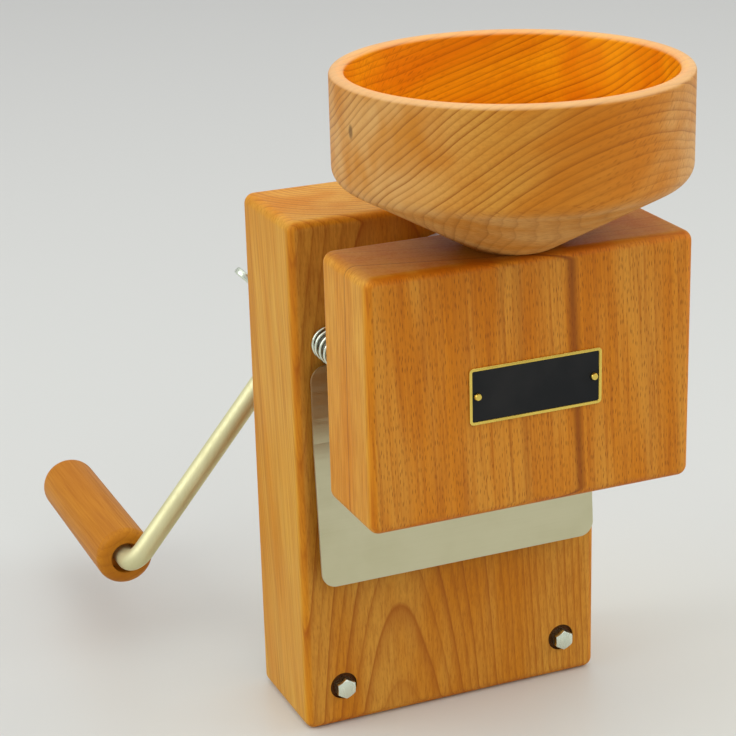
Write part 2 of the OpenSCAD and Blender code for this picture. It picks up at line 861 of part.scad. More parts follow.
back_block();
front_block();
hopper();
chute_plate();
chute_spacers();
chute_screws();
front_bush();
rear_bush();
thrust_washer();
stone_carrier();
runner_stone();
fixed_stone();
drive_pin();
feed_screw();
shaft_nut();
crank_rod();
set_collar();
collar_screw();
grip();
grip_washer();
grip_screw();
guide_studs();
left_spring();
right_spring();
left_wing_nut();
right_wing_nut();
wing_washers();
fixing_bolts();
fixing_washers();
fixing_nuts();
name_plate();
name_plate_pins();
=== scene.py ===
"""Looks of a hand grain mill: oiled beech blocks, a turned hopper, millstones and a bent crank.

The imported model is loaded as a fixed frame. Its nodes get their finishes here, and pieces with finer
meshes stand in for some of them. Lengths are metres, +Z is up and the mill's front faces -Y.
"""

import logging
import math
from dataclasses import dataclass
from enum import Enum

import bmesh
import bpy
from mathutils import Matrix, Vector

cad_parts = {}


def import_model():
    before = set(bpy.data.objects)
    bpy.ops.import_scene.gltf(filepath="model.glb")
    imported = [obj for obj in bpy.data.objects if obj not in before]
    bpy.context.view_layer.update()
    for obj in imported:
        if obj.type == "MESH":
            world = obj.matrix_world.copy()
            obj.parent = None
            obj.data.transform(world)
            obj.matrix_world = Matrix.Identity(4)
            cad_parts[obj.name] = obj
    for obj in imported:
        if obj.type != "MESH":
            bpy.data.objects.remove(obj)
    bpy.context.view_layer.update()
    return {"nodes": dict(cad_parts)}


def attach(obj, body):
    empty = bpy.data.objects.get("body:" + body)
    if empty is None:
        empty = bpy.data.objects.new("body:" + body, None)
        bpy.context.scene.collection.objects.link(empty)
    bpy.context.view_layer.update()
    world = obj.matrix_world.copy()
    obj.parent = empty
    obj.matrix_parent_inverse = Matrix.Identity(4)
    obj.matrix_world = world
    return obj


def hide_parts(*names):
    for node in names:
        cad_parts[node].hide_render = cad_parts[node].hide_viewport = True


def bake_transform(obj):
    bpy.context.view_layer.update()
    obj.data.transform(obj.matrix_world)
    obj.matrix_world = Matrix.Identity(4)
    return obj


LOG = logging.getLogger("mill")
IMAGE_PX = 736
SENSOR_MM = 36.0
TURN_SEGMENTS = 48
CUT_CLOSE = 1e-7
SHARP_ANGLE = math.radians(35)
AXIS_Z = 0.1795
GUIDE_X = 0.056
WING_TURN = math.radians(135)

Colour = tuple[float, float, float]
Point = tuple[float, float, float]
Range = tuple[float, float]
Input = float | tuple | bpy.types.NodeSocket
Verts = list[bmesh.types.BMVert]


class Shader:
    """One material, with short ways to add and link its nodes."""

    def __init__(self, name: str) -> None:
        """Makes an empty Principled material.

        Args:
            name: The material's name.
        """
        self.material = bpy.data.materials.new(name)
        self.material.use_nodes = True
        self.tree = self.material.node_tree
        self.tree.nodes.clear()
        self.surface = self.add("ShaderNodeBsdfPrincipled")
        output = self.add("ShaderNodeOutputMaterial")
        self.tree.links.new(self.surface.outputs["BSDF"], output.inputs["Surface"])

    def add(self, kind: str, **settings: object) -> bpy.types.Node:
        """Adds a node.

        Args:
            kind: The node's type name.
            settings: Values of the node's own properties.

        Returns:
            The new node.
        """
        node = self.tree.nodes.new(kind)
        for name, value in settings.items():
            setattr(node, name, value)
        return node

    def feed(self, socket: bpy.types.NodeSocket, value: Input) -> None:
        """Links an input to a socket, or sets it to a plain value.

        Args:
            socket: The node's input.
            value: What it gets.
        """
        if isinstance(value, bpy.types.NodeSocket):
            self.tree.links.new(value, socket)
        elif isinstance(value, tuple) and socket.type == "RGBA":
            socket.default_value = (*value, 1.0)
        else:
            socket.default_value = value

    def place(self, location: Point = (0, 0, 0), turn: Point = (0, 0, 0)) -> bpy.types.NodeSocket:
        """Object coordinates, turned and then moved.

        Args:
            location: The shift after the turn, in metres.
            turn: XYZ angles in radians.

        Returns:
            The vector socket.
        """
        source = self.add("ShaderNodeTexCoord").outputs["Object"]
        mapping = self.add("ShaderNodeMapping", vector_type="POINT")
        self.feed(mapping.inputs["Vector"], source)
        mapping.inputs["Location"].default_value = location
        mapping.inputs["Rotation"].default_value = turn
        return mapping.outputs["Vector"]

    def maths(self, operation: str, a: Input, b: Input = 0.0, clamp: bool = False) -> bpy.types.NodeSocket:
        """A Math node of two values.

        Args:
            operation: The node's operation.
            a: First value.
            b: Second value.
            clamp: Whether the result stays between 0 and 1.

        Returns:
            The result.
        """
        node = self.add("ShaderNodeMath", operation=operation, use_clamp=clamp)
        self.feed(node.inputs[0], a)
        self.feed(node.inputs[1], b)
        return node.outputs[0]

    def vector(self, operation: str, a: Input, b: Input = (0.0, 0.0, 0.0)) -> bpy.types.NodeSocket:
        """A Vector Math node of two vectors.

        Args:
            operation: The node's operation.
            a: First vector.
            b: Second vector.

        Returns:
            The result, a number for a length or a dot product.
        """
        node = self.add("ShaderNodeVectorMath", operation=operation)
        self.feed(node.inputs[0], a)
        self.feed(node.inputs[1], b)
        return node.outputs["Value" if operation in ("LENGTH", "DOT_PRODUCT") else "Vector"]

    def combine(self, x: Input, y: Input, z: Input) -> bpy.types.NodeSocket:
        """A vector of three values.

        Args:
            x: First value.
            y: Second value.
            z: Third value.

        Returns:
            The vector.
        """
        node = self.add("ShaderNodeCombineXYZ")
        for socket, value in zip(node.inputs, (x, y, z)):
            self.feed(socket, value)
        return node.outputs["Vector"]

    def noise(self, where: Input, detail: float = 2.0, rough: float = 0.5) -> bpy.types.Node:
        """A noise texture at a scale of one.

        Args:
            where: The vector, already scaled.
            detail: Octaves of the noise.
            rough: Share of the finer octaves.

        Returns:
            The node, with its Fac and Color outputs.
        """
        node = self.add("ShaderNodeTexNoise")
        self.feed(node.inputs["Vector"], where)
        node.inputs["Scale"].default_value = 1.0
        node.inputs["Detail"].default_value = detail
        node.inputs["Roughness"].default_value = rough
        return node

    def span(self, value: Input, low: float, high: float, to_low: float = 0.0,
             to_high: float = 1.0) -> bpy.types.NodeSocket:
        """Maps a value smoothly from one range to another, clamped.

        Args:
            value: The value.
            low: Where the range starts.
            high: Where the range ends.
            to_low: The result at the start.
            to_high: The result at the end.

        Returns:
            The mapped value.
        """
        node = self.add("ShaderNodeMapRange", interpolation_type="SMOOTHSTEP")
        self.feed(node.inputs["Value"], value)
        for name, number in (("From Min", low), ("From Max", high), ("To Min", to_low), ("To Max", to_high)):
            node.inputs[name].default_value = number
        return node.outputs["Result"]

    def ramp(self, factor: Input, stops: tuple[Range, ...]) -> bpy.types.NodeSocket:
        """A grey ramp.

        Args:
            factor: The value looked up.
            stops: Pairs of position and grey value.

        Returns:
            The ramp's colour socket.
        """
        node = self.add("ShaderNodeValToRGB")
        elements = node.color_ramp.elements
        while len(elements) < len(stops):
            elements.new(1.0)
        for element, (position, grey) in zip(elements, stops):
            element.position = position
            element.color = (grey, grey, grey, 1.0)
        self.feed(node.inputs["Fac"], factor)
        return node.outputs["Color"]

    def mix(self, factor: Input, a: Input, b: Input, blend: str = "MIX") -> bpy.types.NodeSocket:
        """A colour mix.

        Args:
            factor: Share of the second colour.
            a: First colour.
            b: Second colour.
            blend: Blend mode.

        Returns:
            The mixed colour.
        """
        node = self.add("ShaderNodeMix", data_type="RGBA", blend_type=blend)
        self.feed(node.inputs[0], factor)
        self.feed(node.inputs[6], a)
        self.feed(node.inputs[7], b)
        return node.outputs[2]

    def bump(self, height: Input, strength: float, distance: float) -> None:
        """Feeds a height into the surface's normal.

        Args:
            height: The height, from 0 to 1.
            strength: Share of the effect.
            distance: Depth of a height of 1, in metres.
        """
        node = self.add("ShaderNodeBump")
        node.inputs["Strength"].default_value = strength
        node.inputs["Distance"].default_value = distance
        self.feed(node.inputs["Height"], height)
        self.feed(self.surface.inputs["Normal"], node.outputs["Normal"])

    def set(self, **values: Input) -> None:
        """Sets inputs of the surface; an underscore in a name stands for a space."""
        for name, value in values.items():
            self.feed(self.surface.inputs[name.replace("_", " ")], value)


@dataclass(frozen=True)
class Streak:
    """A dark ring of the log: its radius, half its width and its share of the line colour."""

    radius: float
    half: float
    share: float


@dataclass(frozen=True)
class Flecks:
    """Ends of the wood's rays: short dashes along the grain, on the faces that the rays come out of."""

    colour: Colour
    share: float
    ray: Point
    along: Point = (0.0, 0.0, 1.0)
    width: float = 0.0009
    length: float = 0.0046
    faces: Range = (0.60, 0.92)
    dash: Range = (0.08, 0.34)
    mixed: Range = (0.1, 0.9)
    palest: float = 0.25

    def laid(self, s: Shader) -> tuple[Input, Input]:
        """Lays the dashes on the surface.

        Args:
            s: The material's shader.

        Returns:
            The dashes' mask, and how much the surface faces the rays.
        """
        ray, along = Vector(self.ray).normalized(), Vector(self.along).normalized()
        where = s.place()
        across = s.vector("DOT_PRODUCT", where, tuple(ray.cross(along)))
        down = s.vector("DOT_PRODUCT", where, tuple(along))
        cells = s.add("ShaderNodeTexVoronoi", feature="F1", voronoi_dimensions="2D")
        cells.inputs["Scale"].default_value = 1.0
        s.feed(cells.inputs["Vector"], s.combine(s.maths("DIVIDE", across, self.width),
                                                 s.maths("DIVIDE", down, self.length), 0.0))
        dashes = s.span(cells.outputs["Distance"], *self.dash, 1.0, 0.0)
        dashes = s.maths("MULTIPLY", dashes, s.span(cells.outputs["Color"], *self.mixed, self.palest))
        normal = s.add("ShaderNodeTexCoord").outputs["Normal"]
        facing = s.maths("ABSOLUTE", s.vector("DOT_PRODUCT", normal, tuple(ray)))
        return s.maths("MULTIPLY", dashes, s.span(facing, *self.faces)), facing


@dataclass(frozen=True)
class Beech:
    """Oiled beech, cut out of a log with its pith at a point and its fibres along a direction."""

    name: str
    pith: Point
    grain: Point
    ring: float
    pale: Colour
    deep: Colour
    line: Colour
    flecks: Flecks
    line_share: float = 0.6
    streaks: tuple[Streak, ...] = ()
    wave: float = 0.004
    uneven: float = 2.4
    steady: float = 0.35
    # painted_sheen tints the faces that don't face the rays paler and yellower: a painted sheen of the lit sides
    painted_sheen: Colour = (1.05, 1.22, 1.25)
    end: Colour = (0.97, 0.92, 1.05)
    # edge: a deeper orange on the rounded edges, a painted shade
    edge: Colour = (1.0, 0.86, 0.35)
    faint: float = 0.3
    fibre: float = 0.55
    gloss: float = 0.45
    bands: Point = (42.0, 60.0, 6.0)
    drift: Point = (22.0, 22.0, 5.0)
    fibres: Point = (900.0, 900.0, 22.0)
    year_drift: float = 110.0
    late_wood: tuple[Range, ...] = ((0.0, 0.25), (0.1, 0.0), (0.55, 0.12), (0.86, 0.62), (0.94, 1.0), (1.0, 0.3))
    turned_to: Range = (0.3, 0.7)
    end_faces: Range = (0.5, 0.95)
    rounded: Range = (0.22, 0.48)
    clouds: Range = (0.3, 0.7)
    fibre_dark: Range = (0.35, 0.8)
    fibre_gloss: Range = (0.2, 0.8)
    gloss_spread: Range = (-0.05, 0.08)
    end_fibre: float = 0.3
    shine: float = 0.14
    pores: Range = (0.5, 0.3)
    pore_strength: float = 0.25
    pore_depth: float = 0.00012

    def log_frame(self) -> tuple[Point, Point]:
        """Place and turn of a mapping that puts the pith on the Z axis.

        Returns:
            The mapping's location and its XYZ angles.
        """
        along = Vector(self.grain).normalized()
        turn = along.rotation_difference(Vector((0, 0, 1))).to_matrix()
        return tuple(-(turn @ Vector(self.pith))), tuple(turn.to_euler("XYZ"))

    def tint(self, shader: Shader, colour: Input) -> Input:
        """Plain wood keeps its colour all over."""
        return colour

    def rings(self, s: Shader, radius: Input) -> Input:
        """Late wood of the year rings.

        Args:
            s: The material's shader.
            radius: Distance from the pith.

        Returns:
            A mask that rises through each year and ends in a dark line.
        """
        drift = s.noise(s.combine(s.maths("MULTIPLY", radius, self.year_drift), 0.0, 0.0), 1.0).outputs["Fac"]
        age = s.maths("ADD", s.maths("DIVIDE", radius, self.ring), s.maths("MULTIPLY", drift, self.uneven))
        late = s.ramp(s.maths("FRACT", age), self.late_wood)
        year = s.add("ShaderNodeTexWhiteNoise", noise_dimensions="1D")
        s.feed(year.inputs["W"], s.maths("FLOOR", age))
        return s.maths("MULTIPLY", late, s.span(year.outputs["Value"], 0.0, 1.0, self.steady, 1.0))

    def material(self) -> bpy.types.Material:
        """Makes the finish's material.

        Returns:
            The material.
        """
        s = Shader(self.name)
        log = s.place(*self.log_frame())
        drift = s.noise(s.vector("MULTIPLY", log, self.drift), 2.0).outputs["Color"]
        drift = s.vector("SUBTRACT", drift, (0.5, 0.5, 0.5))
        warped = s.vector("ADD", log, s.vector("MULTIPLY", drift, (self.wave * 2, self.wave * 2, 0.0)))
        radius = s.vector("LENGTH", s.vector("MULTIPLY", warped, (1.0, 1.0, 0.0)))
        fibre = s.noise(s.vector("MULTIPLY", warped, self.fibres), 3.0, 0.65).outputs["Fac"]
        cloud = s.noise(s.vector("MULTIPLY", warped, self.bands), 2.0).outputs["Fac"]
        dashes, facing = self.flecks.laid(s)

        normal = s.add("ShaderNodeTexCoord").outputs["Normal"]
        ends = s.maths("ABSOLUTE", s.vector("DOT_PRODUCT", normal, tuple(Vector(self.grain).normalized())))
        ends = s.span(ends, *self.end_faces)
        side = s.maths("SQRT", s.maths("SUBTRACT", 1.0, s.maths("MULTIPLY", facing, facing)))
        rounding = s.span(s.maths("MULTIPLY", facing, side), *self.rounded)

        colour = s.mix(s.span(cloud, *self.clouds), self.pale, self.deep)
        clear = s.maths("MAXIMUM", s.span(facing, *self.turned_to, self.faint, 1.0), ends)
        clear = s.maths("MULTIPLY", clear, self.line_share)
        colour = s.mix(s.maths("MULTIPLY", self.rings(s, radius), clear), colour, self.line)
        for streak in self.streaks:
            off = s.maths("ABSOLUTE", s.maths("SUBTRACT", radius, streak.radius))
            band = s.maths("MULTIPLY", s.span(off, 0.0, streak.half, 1.0, 0.0), streak.share)
            colour = s.mix(band, colour, self.flecks.colour)
        streaky = s.maths("MULTIPLY", s.span(fibre, *self.fibre_dark, 0.0, self.fibre),
                          s.span(ends, 0.0, 1.0, 1.0, self.end_fibre))
        colour = s.mix(streaky, colour, self.line)
        colour = s.mix(s.maths("MULTIPLY", dashes, self.flecks.share), colour, self.flecks.colour)
        # painted sheen: paler, yellower colour on the faces that don't face the rays
        colour = s.mix(s.span(facing, *self.turned_to, 1.0, 0.0), colour, self.painted_sheen, "MULTIPLY")
        colour = s.mix(ends, colour, self.end, "MULTIPLY")
        # painted shade on the rounded edges
        colour = s.mix(rounding, colour, self.edge, "MULTIPLY")
        low, high = self.gloss_spread
        s.set(Base_Color=self.tint(s, colour),
              Roughness=s.span(fibre, *self.fibre_gloss, self.gloss + low, self.gloss + high))
        s.surface.inputs["Specular IOR Level"].default_value = self.shine
        raised, sunk = self.pores
        height = s.maths("SUBTRACT", s.maths("MULTIPLY", fibre, raised), s.maths("MULTIPLY", dashes, sunk))
        s.bump(height, self.pore_strength, self.pore_depth)
        return s.material


@dataclass(frozen=True)
class BoredBeech(Beech):
    """Beech of a block whose counterbores in its front are darkened: mostly painted shade of deep recesses, partly
    darker end grain.
    """

    bores: tuple[Range, ...] = ((-0.0535, 0.019), (0.0535, 0.019))
    bore_radius: float = 0.0062
    face_y: float = -0.0278
    soft: float = 0.0003
    # bore_shade: mostly painted shade in the counterbores, partly darker end grain
    bore_shade: Colour = (0.16, 0.13, 0.12)

    def tint(self, shader: Shader, colour: Input) -> Input:
        """Darkens the counterbores with painted shade.

        Args:
            shader: The material's shader.
            colour: The wood's colour.

        Returns:
            The changed colour.
        """
        s = shader
        depth = s.vector("DOT_PRODUCT", s.place(), (0.0, 1.0, 0.0))
        sunk = s.span(depth, self.face_y, self.face_y + self.soft)
        for x, z in self.bores:
            place = s.vector("MULTIPLY", s.place((-x, 0.0, -z)), (1.0, 0.0, 1.0))
            inside = s.span(s.vector("LENGTH", place), self.bore_radius, self.bore_radius + self.soft, 1.0, 0.0)
            colour = s.mix(s.maths("MULTIPLY", inside, sunk), colour, self.bore_shade, "MULTIPLY")
        return colour


@dataclass(frozen=True)
class HopperShadeBeech(Beech):
    """Beech of a block with a painted shade on top round the seat of the hopper, standing in for the hopper's
    contact shadow.
    """

    seat: Point = (0.0, -0.088, 0.2305)
    seat_radius: float = 0.017
    fade: float = 0.052
    # shade: colour of the painted shade round the seat of the hopper
    shade: Colour = (0.66, 0.59, 0.55)

    def tint(self, shader: Shader, colour: Input) -> Input:
        """Darkens the top round the seat with a painted shade.

        Args:
            shader: The material's shader.
            colour: The wood's colour.

        Returns:
            The changed colour.
        """
        s = shader
        around = s.vector("LENGTH", s.place(tuple(-value for value in self.seat)))
        normal = s.add("ShaderNodeTexCoord").outputs["Normal"]
        top = s.span(s.vector("DOT_PRODUCT", normal, (0.0, 0.0, 1.0)), *self.end_faces)
        # painted shade standing in for the hopper's contact shadow: darkest at the seat, fading outwards on the top
        painted_shade = s.maths("MULTIPLY", top, s.span(around, self.seat_radius, self.fade, 1.0, 0.0))
        return s.mix(painted_shade, colour, self.shade, "MULTIPLY")


@dataclass(frozen=True)
class BowlBeech(Beech):
    """Beech of a turned bowl with a small knot: deeper orange inside as painted bounce light, deeper orange on the
    side towards the front as painted shade, and paler on the rim as a painted highlight.
    """

    axis: Point = (0.0, -0.088, 0.0)
    wall_radius: float = 0.067
    shoulder_z: float = 0.2625
    cone_slope: float = 1.75
    rim_z: float = 0.2992
    front: Point = (-0.25, -0.97, 0.0)
    # painted_front_shade: deeper orange on the outside that faces forward, a painted shade
    painted_front_shade: Colour = (1.0, 0.82, 0.36)
    # inside: deeper, more saturated orange inside the bowl, painted bounce light
    inside: Colour = (1.36, 1.08, 0.03)
    # rim: paler colour on the top of the rim, a painted highlight of the up-facing rim
    rim: Colour = (0.90, 0.56, 0.26)
    knot: Point = (-0.0697, -0.0947, 0.2845)
    knot_size: Range = (0.0016, 0.0028)
    knot_edge: Range = (0.5, 1.3)
    knot_share: float = 0.8
    bark: Colour = (0.17, 0.085, 0.025)
    shaded_front: Range = (0.6, 1.0)
    wall_blend: float = 0.001
    rim_blend: float = 0.0012
    rim_share: float = 0.6

    def tint(self, shader: Shader, colour: Input) -> Input:
        """Tints the inside with painted bounce light, the front with painted shade and the rim with a painted
        highlight, and marks the knot.

        Args:
            shader: The material's shader.
            colour: The wood's colour.

        Returns:
            The changed colour.
        """
        s = shader
        place = s.place(tuple(-value for value in self.axis))
        parts = s.add("ShaderNodeSeparateXYZ")
        s.feed(parts.inputs[0], place)
        out = s.vector("LENGTH", s.vector("MULTIPLY", place, (1.0, 1.0, 0.0)))
        drop = s.maths("MAXIMUM", s.maths("SUBTRACT", self.shoulder_z, parts.outputs["Z"]), 0.0)
        depth = s.maths("ADD", out, s.maths("MULTIPLY", drop, self.cone_slope))
        inner = s.span(depth, self.wall_radius - self.wall_blend, self.wall_radius + self.wall_blend, 1.0, 0.0)
        normal = s.add("ShaderNodeTexCoord").outputs["Normal"]
        # painted shade on the outside faces that look forward
        shaded_front = s.span(s.vector("DOT_PRODUCT", normal, self.front), *self.shaded_front)
        shaded_front = s.maths("MULTIPLY", shaded_front, s.maths("SUBTRACT", 1.0, inner))
        colour = s.mix(shaded_front, colour, self.painted_front_shade, "MULTIPLY")
        wide, high = self.knot_size
        spot = s.vector("MULTIPLY", s.place(tuple(-value for value in self.knot)), (1 / wide, 1 / wide, 1 / high))
        dark = s.span(s.vector("LENGTH", spot), *self.knot_edge, self.knot_share, 0.0)
        # the knot's dark colour, then painted bounce light multiplied in inside the bowl
        deep = s.mix(inner, s.mix(dark, colour, self.bark), self.inside, "MULTIPLY")
        # painted highlight: the rim's top is paler
        rim_highlight = s.span(parts.outputs["Z"], self.rim_z, self.rim_z + self.rim_blend, 0.0, self.rim_share)
        return s.mix(rim_highlight, deep, self.rim)


@dataclass(frozen=True)
class Metal:
    """A metal with fine scratches along one direction and a faint mottling."""

    name: str
    colour: Colour
    tarnish: Colour
    rough: float
    scratch: Point = (900.0, 900.0, 60.0)
    metallic: float = 1.0
    sheen: float = 0.5
    depth: float = 0.00002
    mottle: Point = (45.0, 45.0, 45.0)
    mottled: Range = (0.35, 0.75)
    scratched: Range = (0.25, 0.8)
    rough_spread: Range = (-0.06, 0.1)
    scratch_strength: float = 0.15

    def material(self) -> bpy.types.Material:
        """Makes the finish's material.

        Returns:
            The material.
        """
        s = Shader(self.name)
        where = s.place()
        lines = s.noise(s.vector("MULTIPLY", where, self.scratch), 3.0, 0.6).outputs["Fac"]
        blotch = s.noise(s.vector("MULTIPLY", where, self.mottle), 3.0).outputs["Fac"]
        low, high = self.rough_spread
        s.set(Base_Color=s.mix(s.span(blotch, *self.mottled), self.colour, self.tarnish),
              Metallic=self.metallic,
              Roughness=s.span(lines, *self.scratched, self.rough + low, self.rough + high))
        s.surface.inputs["Specular IOR Level"].default_value = self.sheen
        s.bump(lines, self.scratch_strength, self.depth)
        return s.material


@dataclass(frozen=True)
class Grit:
    """Bonded corundum grit of a millstone."""

    name: str
    colour: Colour
    speck: Colour
    grit_scale: float = 1400.0
    grain_scale: Point = (700.0, 700.0, 700.0)
    specks: Range = (0.55, 0.95)
    speck_share: float = 0.7
    rough: Range = (0.8, 0.98)
    bump_strength: float = 0.8
    bump_depth: float = 0.0004

    def material(self) -> bpy.types.Material:
        """Makes the finish's material.

        Returns:
            The material.
        """
        s = Shader(self.name)
        where = s.place()
        cells = s.add("ShaderNodeTexVoronoi", feature="F1")
        s.feed(cells.inputs["Vector"], where)
        cells.inputs["Scale"].default_value = self.grit_scale
        grain = s.noise(s.vector("MULTIPLY", where, self.grain_scale), 3.0, 0.7).outputs["Fac"]
        shade = s.span(cells.outputs["Color"], *self.specks)
        colour = s.mix(s.maths("MULTIPLY", shade, self.speck_share), self.colour, self.speck)
        s.set(Base_Color=colour, Roughness=s.span(grain, 0.2, 0.8, *self.rough))
        s.bump(s.maths("ADD", cells.outputs["Distance"], grain), self.bump_strength, self.bump_depth)
        return s.material


class Finish(Enum):
    """The finishes of the mill's pieces."""

    BACK_BLOCK = BoredBeech(
        "beech_back_block", (-0.0255, 0.012, 0.0406), (0.0, 0.097, 1.0), 0.0030,
        (0.68, 0.32, 0.042), (0.60, 0.21, 0.008), (0.36, 0.090, 0.006),
        Flecks((0.28, 0.070, 0.006), 0.3, (0.0, 1.0, 0.0)), line_share=0.85, steady=0.5, wave=0.0018, uneven=1.0,
        end=(1.07, 1.0, 1.15))
    FRONT_BLOCK = HopperShadeBeech(
        "beech_front_block", (0.093, 0.389, 0.178), (-0.048, 0.0, 1.0), 0.0042,
        (0.68, 0.295, 0.036), (0.62, 0.200, 0.007), (0.40, 0.100, 0.007),
        Flecks((0.17, 0.036, 0.005), 0.58, (0.0, 1.0, 0.0)),
        # end=(0.74, 0.62, 0.56) darkens the top: partly darker end grain, mostly painted shade under the hopper
        line_share=0.4, end=(0.74, 0.62, 0.56),
        streaks=(Streak(0.5025, 0.0005, 0.75), Streak(0.5066, 0.0006, 0.2), Streak(0.5080, 0.0002, 0.3)),
        wave=0.0008, bands=(80.0, 60.0, 8.0), fibre=0.7)
    HOPPER = BowlBeech(
        "turned_beech_hopper", (-0.073, 0.050, 0.513), (0.958, 0.0, 0.287), 0.0027,
        (0.66, 0.345, 0.105), (0.57, 0.210, 0.020), (0.29, 0.090, 0.012),
        Flecks((0.26, 0.080, 0.010), 0.45, (-0.30, 0.66, 1.0), (0.958, 0.0, 0.287), faces=(0.48, 0.58)),
        line_share=0.6, wave=0.0034, uneven=1.2, steady=0.55, painted_sheen=(1.03, 1.10, 1.15),
        edge=(1.0, 1.0, 1.0), end=(1.0, 1.0, 1.0), faint=1.65, fibre=0.25)
    GRIP = Beech(
        "turned_beech_grip", (-0.13, 0.1, 0.08), (0.0, 1.0, 0.0), 0.004,
        (0.56, 0.225, 0.012), (0.47, 0.165, 0.005), (0.33, 0.095, 0.006),
        Flecks((0.28, 0.075, 0.005), 0.2, (1.0, 0.0, 1.0), (0.0, 1.0, 0.0)), line_share=0.4,
        edge=(1.0, 1.0, 1.0), painted_sheen=(1.0, 1.0, 1.0), faint=1.0)
    SHEET = Metal("satin_sheet", (0.60, 0.57, 0.38), (0.56, 0.53, 0.34), 0.36, (40.0, 900.0, 1600.0))
    ZINC = Metal("zinc_plate", (0.74, 0.715, 0.43), (0.68, 0.655, 0.38), 0.55, metallic=0.85)
    BRIGHT = Metal("bright_zinc", (0.72, 0.78, 0.66), (0.64, 0.70, 0.58), 0.27, depth=0.000006)
    # STEEL: a darker steel than the zinc-plated pieces, for the studs that look dark inside the springs
    STEEL = Metal("dark_steel", (0.30, 0.30, 0.26), (0.22, 0.22, 0.19), 0.32)
    BLACK = Metal("blackened_steel", (0.05, 0.05, 0.05), (0.03, 0.03, 0.03), 0.45)
    BRONZE = Metal("sintered_bronze", (0.55, 0.36, 0.16), (0.42, 0.27, 0.12), 0.45)
    CAST = Metal("turned_casting", (0.62, 0.62, 0.60), (0.52, 0.52, 0.50), 0.42)
    STONE = Grit("millstone_grit", (0.62, 0.57, 0.49), (0.30, 0.28, 0.26))
    ENAMEL = Metal("black_field", (0.012, 0.013, 0.014), (0.02, 0.02, 0.02), 0.42, (900.0, 900.0, 900.0), 0.0, 0.12)
    BRASS = Metal("polished_brass", (0.78, 0.58, 0.12), (0.68, 0.48, 0.09), 0.25)

    def made(self) -> bpy.types.Material:
        """The finish's material, made once."""
        found = bpy.data.materials.get(self.value.name)
        return found if found else self.value.material()


NODE_FINISHES: dict[Finish, tuple[str, ...]] = {
    Finish.BACK_BLOCK: ("back_block",),
    Finish.FRONT_BLOCK: ("front_block",),
    Finish.HOPPER: ("hopper",),
    Finish.GRIP: ("grip",),
    Finish.SHEET: ("chute_plate", "chute_spacers", "chute_screws"),
    Finish.ZINC: ("crank_rod", "set_collar", "feed_screw", "drive_pin", "thrust_washer"),
    Finish.BRIGHT: ("shaft_nut", "grip_washer", "grip_screw", "guide_studs", "left_wing_nut", "right_wing_nut",
                    "wing_washers", "fixing_bolts", "fixing_washers", "fixing_nuts"),
    Finish.BLACK: ("collar_screw", "name_plate"),
    Finish.BRONZE: ("front_bush", "rear_bush"),
    Finish.CAST: ("stone_carrier",),
    Finish.STONE: ("runner_stone", "fixed_stone"),
    Finish.BRASS: ("name_plate_pins",),
}


def dress(piece: bpy.types.Object, *finishes: Finish) -> None:
    """Gives a piece its finishes.

    Args:
        piece: The piece or CAD node.
        finishes: The finishes, in the order of its material indices.
    """
    slots = piece.data.materials
    for index, finish in enumerate(finishes):
        if index < len(slots):
            slots[index] = finish.made()
        else:
            slots.append(finish.made())


def piece_of(name: str, mesh: bmesh.types.BMesh, *finishes: Finish) -> bpy.types.Object:
    """Turns a bmesh into a smooth-shaded object at the origin.

    Args:
        name: The piece's name.
        mesh: Its bmesh, which is freed.
        finishes: Its finishes.

    Returns:
        The new object, linked to the scene.
    """
    bmesh.ops.remove_doubles(mesh, verts=mesh.verts, dist=1e-7)
    bmesh.ops.recalc_face_normals(mesh, faces=mesh.faces)
    for face in mesh.faces:
        face.smooth = True
    data = bpy.data.meshes.new(name)
    mesh.to_mesh(data)
    mesh.free()
    data.set_sharp_from_angle(angle=SHARP_ANGLE)
    piece = bpy.data.objects.new(name, data)
    bpy.context.scene.collection.objects.link(piece)
    dress(piece, *finishes)
    return piece


def made_since(mesh: bmesh.types.BMesh, before: set[bmesh.types.BMVert]) -> Verts:
    """The vertices that a mesh has got since an earlier look at it."""
    return [vert for vert in mesh.verts if vert not in before]


def trim(mesh: bmesh.types.BMesh, before: set[bmesh.types.BMVert], place: Point | Vector,
         out: Point | Vector) -> None:
    """Cuts away what stands outside a plane, from the shape made since an earlier look.

    Args:
        mesh: The bmesh with the shape.
        before: The vertices from before the shape.
        place: A point of the plane.
        out: The direction that is cut away.
    """
    verts = made_since(mesh, before)
    edges = dict.fromkeys(edge for vert in verts for edge in vert.link_edges)
    faces = dict.fromkeys(face for vert in verts for face in vert.link_faces)
    bmesh.ops.bisect_plane(mesh, geom=[*verts, *edges, *faces], dist=CUT_CLOSE, plane_co=place, plane_no=out,
                           clear_outer=True)


def turned(mesh: bmesh.types.BMesh, profile: tuple[Range, ...], closed: bool) -> Verts:
    """Turns a profile round the Z axis.

    Args:
        mesh: The bmesh that gets the shape.
        profile: Pairs of radius and height, in the order of the surface.
        closed: Whether the last pair joins the first; otherwise both ends get caps.

    Returns:
        The new vertices.
    """
    loops = []
    for radius, height in profile:
        verts = bmesh.ops.create_circle(mesh, radius=radius, segments=TURN_SEGMENTS)["verts"]
        bmesh.ops.translate(mesh, verts=verts, vec=(0.0, 0.0, height))
        loops.append(verts)
    edges = [list(dict.fromkeys(edge for vert in loop for edge in vert.link_edges)) for loop in loops]
    for first, second in zip(edges, edges[1:] + (edges[:1] if closed else [])):
        bmesh.ops.bridge_loops(mesh, edges=first + second)
    if not closed:
        for loop in (edges[0], edges[-1]):
            bmesh.ops.edgeloop_fill(mesh, edges=loop)
    return [vert for loop in loops for vert in loop]


def set_on_axis(mesh: bmesh.types.BMesh, verts: Verts, place: Point, turn: float = 0.0) -> None:
    """Lays a shape made along Z down along +Y at a place, turned about its own axis first."""
    down = Matrix.Rotation(-math.pi / 2, 4, "X") @ Matrix.Rotation(turn, 4, "Z")
    bmesh.ops.transform(mesh, matrix=Matrix.Translation(Vector(place)) @ down, verts=verts)


